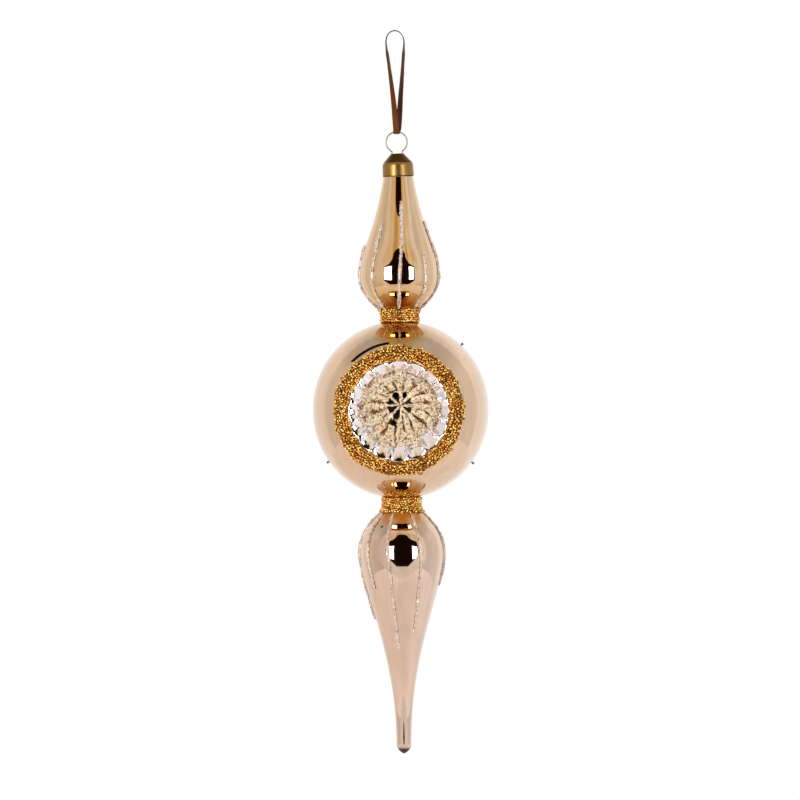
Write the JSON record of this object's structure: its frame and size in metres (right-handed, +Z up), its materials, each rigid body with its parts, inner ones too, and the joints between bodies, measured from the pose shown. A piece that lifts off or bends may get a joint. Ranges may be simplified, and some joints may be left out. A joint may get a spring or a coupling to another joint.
{
  "type": "finial ornament",
  "caption": "Hanging finial of blown, silvered glass: a teardrop bulb, a ball with a beaded, fluted reflector, and a long tapering drop, under a brass cap with a ring and ribbon.",
  "frame": {"origin": "centre of the wire ring's eye, from which the ornament hangs", "axes": "+Z up along the glass body, -Y the way the reflector faces, +X to the right seen from the front"},
  "size_m": [0.0802, 0.0745, 0.3307],
  "materials": {
    "champagne_glass": "silvered inside, champagne lacquer, high gloss",
    "antique_brass": "antiqued, satin",
    "bright_wire": "bright drawn",
    "brown_satin": "satin weave",
    "gold_beads": "gold-lined, glossy",
    "champagne_glitter": "fine glitter in clear glue",
    "dark_beads": "glossy"
  },
  "bodies": {
    "root": {"glass_body": "champagne_glass", "cap": "antique_brass", "hanger_wire": "bright_wire", "ribbon_loop": "brown_satin", "upper_bead_collar": "gold_beads", "lower_bead_collar": "gold_beads", "reflector_bead_band": "gold_beads", "reflector_star": "champagne_glitter", "side_beads": "dark_beads", "upper_line_1": "champagne_glitter", "upper_line_2": "champagne_glitter", "upper_line_3": "champagne_glitter", "upper_line_4": "champagne_glitter", "upper_line_5": "champagne_glitter", "upper_line_6": "champagne_glitter", "upper_line_7": "champagne_glitter", "upper_line_8": "champagne_glitter", "lower_line_1": "champagne_glitter", "lower_line_2": "champagne_glitter", "lower_line_3": "champagne_glitter", "lower_line_4": "champagne_glitter", "lower_line_5": "champagne_glitter", "lower_line_6": "champagne_glitter", "lower_line_7": "champagne_glitter", "lower_line_8": "champagne_glitter"}
  },
  "joints": []
}
